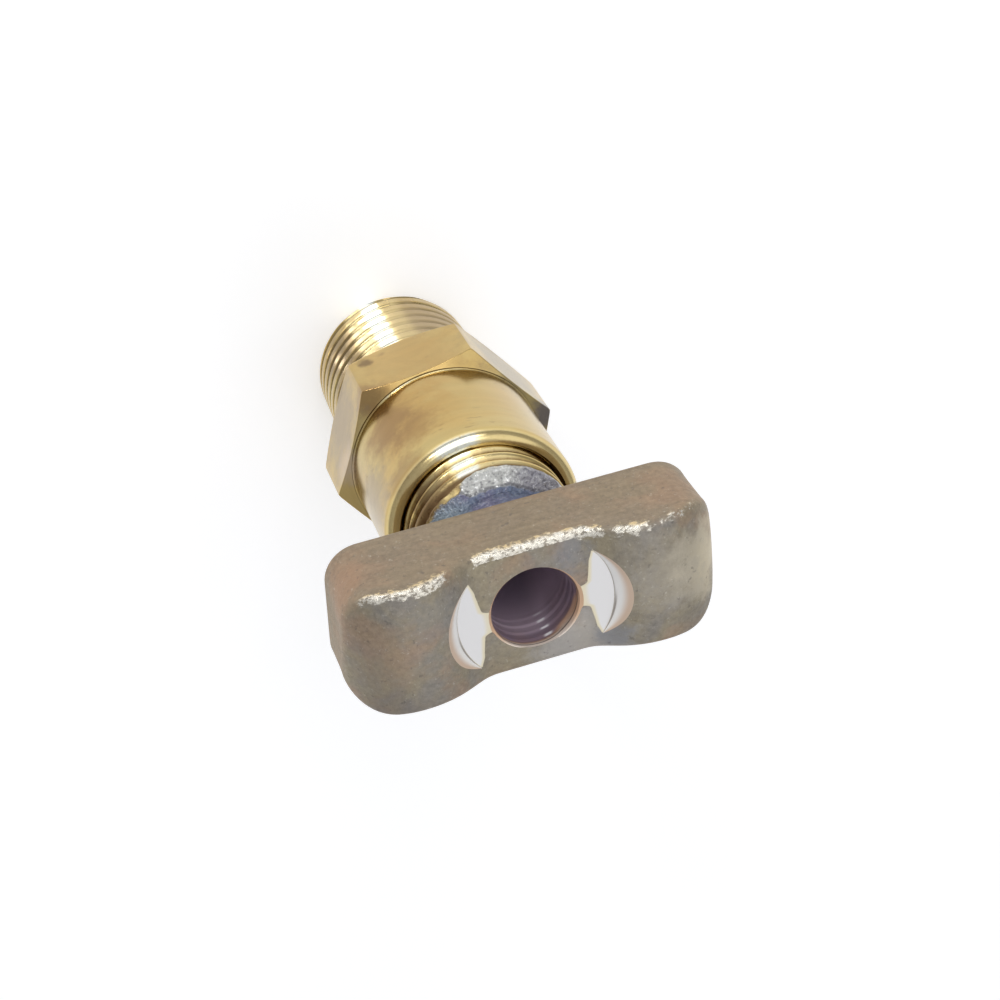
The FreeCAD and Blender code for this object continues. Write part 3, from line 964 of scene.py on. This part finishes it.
def buildHandle(materials):
    cast, facedCast, bore, roughNeck, threadBrass = range(5)
    angles = handleAngles()

    def ring(radius, height):
        return ringPoints(radius, angles, height)

    rows, back, backEdge, frontEdge = (handle[key] for key in ("rows", "back", "backEdge", "frontEdge"))
    facingZ, holeRadius, neckRadius = handle["facingZ"], hole["radius"], neck["radius"]
    threadBottom, noseRadius = stem["threadBottom"], stem["noseRadius"]
    passageRadius, passageFloor = stem["passageRadius"], stem["passageFloor"]

    # How far in the edges start, measured towards the axis
    probe = 0.05
    reach = outlineReach(0.0, angles)
    edgeRatio = (reach - outlineReach(frontEdge, angles)) / frontEdge
    backRatio = (reach - outlineReach(backEdge, angles)) / backEdge
    edgeHeight = skinHeight(reach, angles)
    steepness = (skinHeight(reach - probe * edgeRatio, angles) - edgeHeight) / probe
    edgeReach = reach - frontEdge / np.sqrt(1 + steepness ** 2) * edgeRatio
    footReach = np.minimum(handle["facingRadius"], edgeReach)
    topReach = facingTop(angles, edgeReach)

    # Front skin sinks a little in slow waves, and not at all along the facing cut
    def skin(radius):
        height = skinHeight(radius, angles)
        calm = np.clip((radius - topReach) / handle["calmFor"], 0, 1)
        waves = castWaves(ring(radius, height), *handle["skinWaves"])
        return height + calm * handle["skinDepth"] * waves

    # Front, from the edge's start inwards to the facing cut
    frontRadius = edgeReach + (topReach - edgeReach) * steps(rows["front"])
    front = ring(frontRadius, skin(frontRadius))
    frontWorn = np.clip(1 - (edgeReach - frontRadius) / edgeRatio / 0.4, 0, 1) * 0.7 * wearAlong(front)

    # Front edge: quadratic curve from the side, round the corner of front and side, to the front
    t = steps(rows["frontEdge"])
    sideHigh = edgeHeight - frontEdge
    edge = ring(quadratic(t, reach, reach, edgeReach), quadratic(t, sideHigh, edgeHeight, skin(edgeReach)))
    edgeWorn = (0.4 + 0.6 * softStep(t, 0, 0.4) - 0.3 * softStep(t, 0.6, 1)) * wearAlong(edge)

    # Sides, from the back edge up to the front edge
    up = steps(rows["side"])
    sideZ = back + backEdge + (sideHigh - (back + backEdge)) * up
    sides = rough(ring(reach, sideZ), *handle["sideLumps"], np.sin(pi * up) ** 0.5)
    sideWorn = np.clip(1 - (sideHigh - sideZ) / 0.3, 0, 1) * 0.4 * wearAlong(sides)

    # Back: the flat round the flare, and the back edge as a quarter circle
    def backRound(sweep):
        return reach - backRatio * backEdge * (1 - np.sin(sweep)), back + backEdge * (1 - np.cos(sweep))

    flatReach = (handle["width"] / 2 - backEdge) / np.maximum(np.abs(np.sin(angles)), 1e-3)
    flareReach = np.clip(flatReach, neckRadius, neckRadius + neck["flare"])
    firstTurn = np.arcsin(np.clip(1 - (reach - flareReach) / backRatio / backEdge, 0, 1))
    roundStart, flareHeight = backRound(firstTurn)
    backFlat = ring(flareReach + (roundStart - flareReach) * steps(rows["back"]), flareHeight)
    roundRadius, roundZ = backRound(firstTurn + (pi / 2 - firstTurn) * steps(rows["backEdge"]))

    # Neck: the thread's last turns and cone, plain neck, then a quarter-round flare into the back
    smoothTo = neck["roughFrom"] - 0.5
    lastTurns = threadSheet(roughNeck, angles, smoothTo, neck["coneTop"], stemThread, stemRadiusAt)
    settled = softStep(lastTurns["grid"][..., 2], smoothTo, neck["threadTop"])
    lastTurns["grid"] = rough(lastTurns["grid"], *neck["lumps"], settled)
    flareStart = back - neck["flare"]
    tubeZ = neck["coneTop"] + (flareStart - neck["coneTop"]) * steps(rows["neck"])
    bend = steps(rows["flare"], 0, pi / 2)
    flare = ring(neckRadius + (flareReach - neckRadius) * (1 - np.cos(bend)),
                 flareStart + (flareHeight - flareStart) * np.sin(bend))
    neckGrid = np.concatenate([ring(neckRadius, tubeZ), flare[1:]])
    neckGrid = rough(neckGrid, *neck["lumps"], 1 - steps(len(neckGrid)) ** 3)

    # Facing cut: the lower of front and cut plane inside the cutter's circle, and its sloped wall outside
    def cutFront(radius):
        return np.minimum(skinHeight(radius, angles), facingZ)

    rimRise = np.clip(cutFront(holeRadius + 0.1) - (facingZ - hole["chamfer"]), 0, hole["chamfer"])
    rimReach = holeRadius + rimRise
    facingRadius = footReach + (rimReach - footReach) * steps(rows["facing"])
    wallUp = steps(rows["wall"], 1, 0)
    wallFoot = cutFront(footReach)
    wall = ring(footReach + (topReach - footReach) * wallUp,
                wallFoot + (skinHeight(topReach, angles) - wallFoot) * wallUp)

    # Hole: rim chamfer, drilled wall with a fine spiral near the rim, drill points and narrow passage
    rimZ = cutFront(rimReach)
    lowZ = rimZ - np.maximum(rimRise, 0.02)
    chamfer = np.stack([ring(rimReach, rimZ), ring(holeRadius, lowZ)])
    ringed = hole["ringsFade"][1] + 0.2
    plainZ = lowZ - ringed + (hole["floor"] - lowZ + ringed) * steps(rows["hole"])[1:]
    wallZ = np.concatenate([lowZ - ringed * steps(rows["rings"]), plainZ])
    depth = lowZ - wallZ
    phase = depth / hole["ringPitch"] - angles / turn
    phase = phase - np.floor(phase)
    rise = hole["riseShare"]
    spiral = np.where(phase < rise, softStep(phase, 0, rise), 1 - softStep(phase, rise, 1))
    fade = np.clip(depth / 0.3, 0, 1) * (1 - softStep(depth, *hole["ringsFade"]))
    holeWall = ring(holeRadius - hole["ringDepth"] * spiral * fade, wallZ)
    # Painted white glints on the crests of the spiral
    onCrest = (1 - softStep(np.abs(phase - 0.55 * rise), 0.06, 0.14)) * fade * (depth > 0.5)
    # Towards one side the bare rim band reaches deeper, as a painted highlight
    *bareSide, bareShare = hole["deepBare"]
    oxideDepth = depth * (1 - bareShare * aroundAngle(angles, *bareSide))
    slope = 1 / tan(radians(hole["drillPoint"] / 2))
    passage = easedProfile(
        [(holeRadius, hole["floor"]), (passageRadius, hole["floor"] - (holeRadius - passageRadius) * slope),
         (passageRadius, passageFloor), (0.0, passageFloor - passageRadius * slope)], [0.08, 0.15])

    # Stem below the thread: screw hole, nose, and the step up to the thread
    nose = easedProfile(
        [(0.0, stem["screwHoleTop"]), (stem["screwHoleRadius"], stem["screwHoleTop"]),
         (stem["screwHoleRadius"], handleLow), (noseRadius - stem["noseChamfer"], handleLow),
         (noseRadius, handleLow + stem["noseChamfer"]), (noseRadius, threadBottom),
         (stemRadiusAt(threadBottom, angles / turn), threadBottom)], [0.03, 0.05, 0.06, 0.06, 0.3])
    sheets = [
        sheet(turnedGrid(nose, angles), threadBrass),
        threadSheet(threadBrass, angles, threadBottom, smoothTo, stemThread, stemRadiusAt),
        lastTurns,
        sheet(neckGrid, roughNeck),
        sheet(backFlat, cast, flank=0.5),
        sheet(ring(roundRadius, roundZ), cast, flank=1),
        sheet(sides, cast, edge=sideWorn, flank=1),
        sheet(edge, cast, edge=edgeWorn, flank=1 - t),
        sheet(wall, facedCast, wall=wallUp * (topReach > footReach + 0.01)),
        sheet(front, cast, edge=frontWorn),
        sheet(ring(facingRadius, cutFront(facingRadius)), facedCast,
              faced=skinHeight(facingRadius, angles) - facingZ),
        sheet(chamfer, bore),
        sheet(holeWall, bore, depth=oxideDepth, rubbed=onCrest * aroundAngle(angles, *hole["glints"])),
        sheet(turnedGrid(passage, angles), bore, depth=facingZ - hole["floor"]),
    ]
    marks = ["faced", "edge", "flank", "groove", "rubbed", "wall", "depth"]
    piece = buildPiece("castHandle", sheets, materials, marks)
    cutSideHoles(piece, materials[bore])
    return piece


brass = makeTurnedBrass("turnedBrass", 5.0, 0.1, 0.3, bodyStains)
threadBrass = makeTurnedBrass("threadBrass", 8.0, 0.15, 0.34, bodyStains, 0.3)
turnedBody = buildBody(brass, threadBrass)
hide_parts("pipe_body")
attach(turnedBody, "body")
print("body made")

castBronze = makeCastBronze("castBronze", False)
facedBronze = makeCastBronze("facedBronze", True)
stemBrass = makeTurnedBrass("stemBrass", 9.0, 0.15, 0.3, stemStains, 0.95)
castHandle = buildHandle([castBronze, facedBronze, makeDrilledHole(), makeRoughNeck(), stemBrass])
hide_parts("t_handle")
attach(castHandle, "handle")
print("handle made")

screwBrass = makeTurnedBrass("screwBrass", 9.0, 0.5, 0.3)
for node, material in {"seat_washer": makeWasherRubber(), "washer_screw": screwBrass}.items():
    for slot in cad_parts[node].material_slots:
        slot.material = material
print("washer and screw finished")

# Studio: pale floor, lamps placed by direction from the plug, and three small strips just above the
# floor, whose reflections run up the turned metal

aim = Vector((0, 0, 25))
studio = {
    "floorSize": 3000.0,
    "floorColour": (0.86, 0.86, 0.86),
    "floorLift": 0.36,
    "worldColour": (0.93, 0.95, 1.0),
    "worldStrength": (0.42, 0.56),
    "worldRise": (0.1, 0.7),
    "stripHeight": 0.3,
}
# Lamps: azimuth, elevation, distance, width and height, and radiance
lamps = {
    "keyPanel": (92, 42, 300, (220, 260), 1.05),
    "glintLamp": (118, 29, 300, (30, 40), 18.0),
    "backPanel": (-71, 56, 300, (260, 260), 0.65),
    "edgePanel": (80, 30, 260, (90, 40), 2.5),
    "rightPanel": (33, 52, 300, (200, 200), 0.6),
}
# Strips: place on the floor, length along X and Y, and radiance
strips = {
    "threadStrip": ((-2.1, 9.0), (2.8, 4.4), 3.9),
    "fingerStrip": ((-5.2, 7.6), (2.4, 3.4), 1.6),
    "leftStrip": ((-7.6, 4.3), (1.2, 1.4), 4.0),
}


def direction(azimuth, elevation):
    a, e = radians(azimuth), radians(elevation)
    return Vector((cos(e) * cos(a), cos(e) * sin(a), sin(e)))


def addLamp(name, place, towards, size, radiance):
    light = bpy.data.lights.new(name, "AREA")
    light.shape = "RECTANGLE"
    light.size, light.size_y = size[0] * mm, size[1] * mm
    light.energy = radiance * pi * light.size * light.size_y  # so that the panel shines at that strength
    lamp = addToScene(name, light)
    facing = (towards - place).to_track_quat("-Z", "Y").to_matrix().to_4x4()
    lamp.matrix_world = Matrix.Translation(place * mm) @ facing
    lamp.visible_camera = False


for name, (azimuth, elevation, distance, size, radiance) in lamps.items():
    addLamp(name, aim + distance * direction(azimuth, elevation), aim, size, radiance)
for name, (place, size, radiance) in strips.items():
    low = Vector((*place, studio["stripHeight"]))
    addLamp(name, low, low + Vector((0, 0, 10)), size, radiance)


def makeFloor():
    material = bpy.data.materials.new("paleFloor")
    material.use_nodes = True
    tree = material.node_tree
    tree.nodes.clear()
    path = addNode(tree, "LightPath").outputs
    bent = calc("MAXIMUM", path["Is Glossy Ray"], path["Is Transmission Ray"])
    seen = calc("MAXIMUM", path["Is Camera Ray"], bent)
    matt = addNode(tree, "BsdfDiffuse", {"Color": studio["floorColour"]}).outputs[0]
    glow = addNode(tree, "Emission", {"Strength": studio["floorLift"]}).outputs[0]
    lifted = addNode(tree, "AddShader", {0: matt, 1: glow}).outputs[0]
    shader = addNode(tree, "MixShader", {0: seen, 1: matt, 2: lifted}).outputs[0]
    addNode(tree, "OutputMaterial", {"Surface": shader})
    half = studio["floorSize"] / 2 * mm
    mesh = bpy.data.meshes.new("floor")
    corners = [(-half, -half, 0), (half, -half, 0), (half, half, 0), (-half, half, 0)]
    mesh.from_pydata(corners, [], [(0, 1, 2, 3)])
    mesh.materials.append(material)
    floor = addToScene("floor", mesh)


makeFloor()

world = bpy.data.worlds.new("studio")
bpy.context.scene.world = world
world.use_nodes = True
sky = world.node_tree
sky.nodes.clear()
path = addNode(sky, "LightPath").outputs
upwards = addNode(sky, "SeparateXYZ", {0: addNode(sky, "TexCoord").outputs["Generated"]}).outputs[2]
strength = band(upwards, *studio["worldRise"], *studio["worldStrength"])
room = addNode(sky, "Background", {"Color": studio["worldColour"], "Strength": strength}).outputs[0]
white = addNode(sky, "Background", {"Color": (1, 1, 1), "Strength": 1.0}).outputs[0]
sight = addNode(sky, "MixShader", {0: path["Is Camera Ray"], 1: room, 2: white}).outputs[0]
addNode(sky, "OutputWorld", {"Surface": sight})
print("studio lit")

# Camera: azimuth and tilt from the plug's axis, rolled, with the plug a little off the picture's centre
view = {
    "azimuth": 108.815,
    "fromAxis": 33.625,
    "roll": -9.008,
    "distance": 152.303,
    "right": -1.915,
    "up": -0.258,
    "lens": 72.0,
    "sensor": 36,
    "near": 5,
}
toCamera = direction(view["azimuth"], 90 - view["fromAxis"])
level = Vector((0, 1, 0)).cross(toCamera).normalized()
rise = toCamera.cross(level)
roll = radians(view["roll"])
rightward = cos(roll) * level + sin(roll) * rise
upward = -sin(roll) * level + cos(roll) * rise
eye = aim - view["right"] * rightward - view["up"] * upward + view["distance"] * toCamera
cameraData = bpy.data.cameras.new("camera")
cameraData.lens = view["lens"]
cameraData.sensor_width = view["sensor"]
cameraData.clip_start = view["near"] * mm
camera = addToScene("camera", cameraData)
facing = Matrix((rightward, upward, toCamera)).transposed().to_4x4()
camera.matrix_world = Matrix.Translation(eye * mm) @ facing
bpy.context.scene.camera = camera
bpy.context.scene.view_settings.view_transform = "Standard"
print("camera placed")
